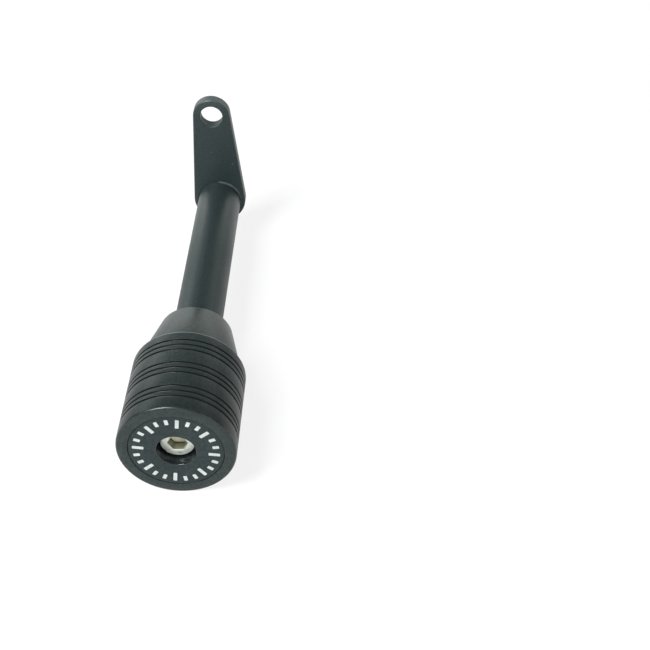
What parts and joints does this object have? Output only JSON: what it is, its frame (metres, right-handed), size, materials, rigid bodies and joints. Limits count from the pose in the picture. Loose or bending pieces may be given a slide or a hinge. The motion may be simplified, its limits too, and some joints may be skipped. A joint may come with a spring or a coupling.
{
  "type": "motorcycle frame slider",
  "caption": "Frame slider for a motorcycle: a grooved plastic puck and a metal cone bolted to a round steel arm, welded to an offset plate with a hole for a frame bolt.",
  "frame": {"origin": "centre of the frame bolt's hole, on the plate's back face, which lies against the motorcycle", "axes": "-Y along the arm, from the motorcycle out to the puck's face; +Z from the arm's axis to the frame bolt's hole; +X across the plate"},
  "size_m": [0.055, 0.206, 0.0926],
  "materials": {
    "painted_steel": "satin",
    "black_anodised": "satin",
    "black_plastic": "satin",
    "black_cap": "satin",
    "plain_steel": "satin",
    "plated_steel": "satin"
  },
  "bodies": {
    "root": {"mounting_plate": "painted_steel", "arm_bar": "painted_steel", "plate_weld": "painted_steel", "cone_collar": "black_anodised", "slider_puck": "black_plastic", "end_cap": "black_cap", "crush_sleeve": "plain_steel", "spring_washer": "plain_steel", "clamp_bolt": "plated_steel"}
  },
  "joints": []
}
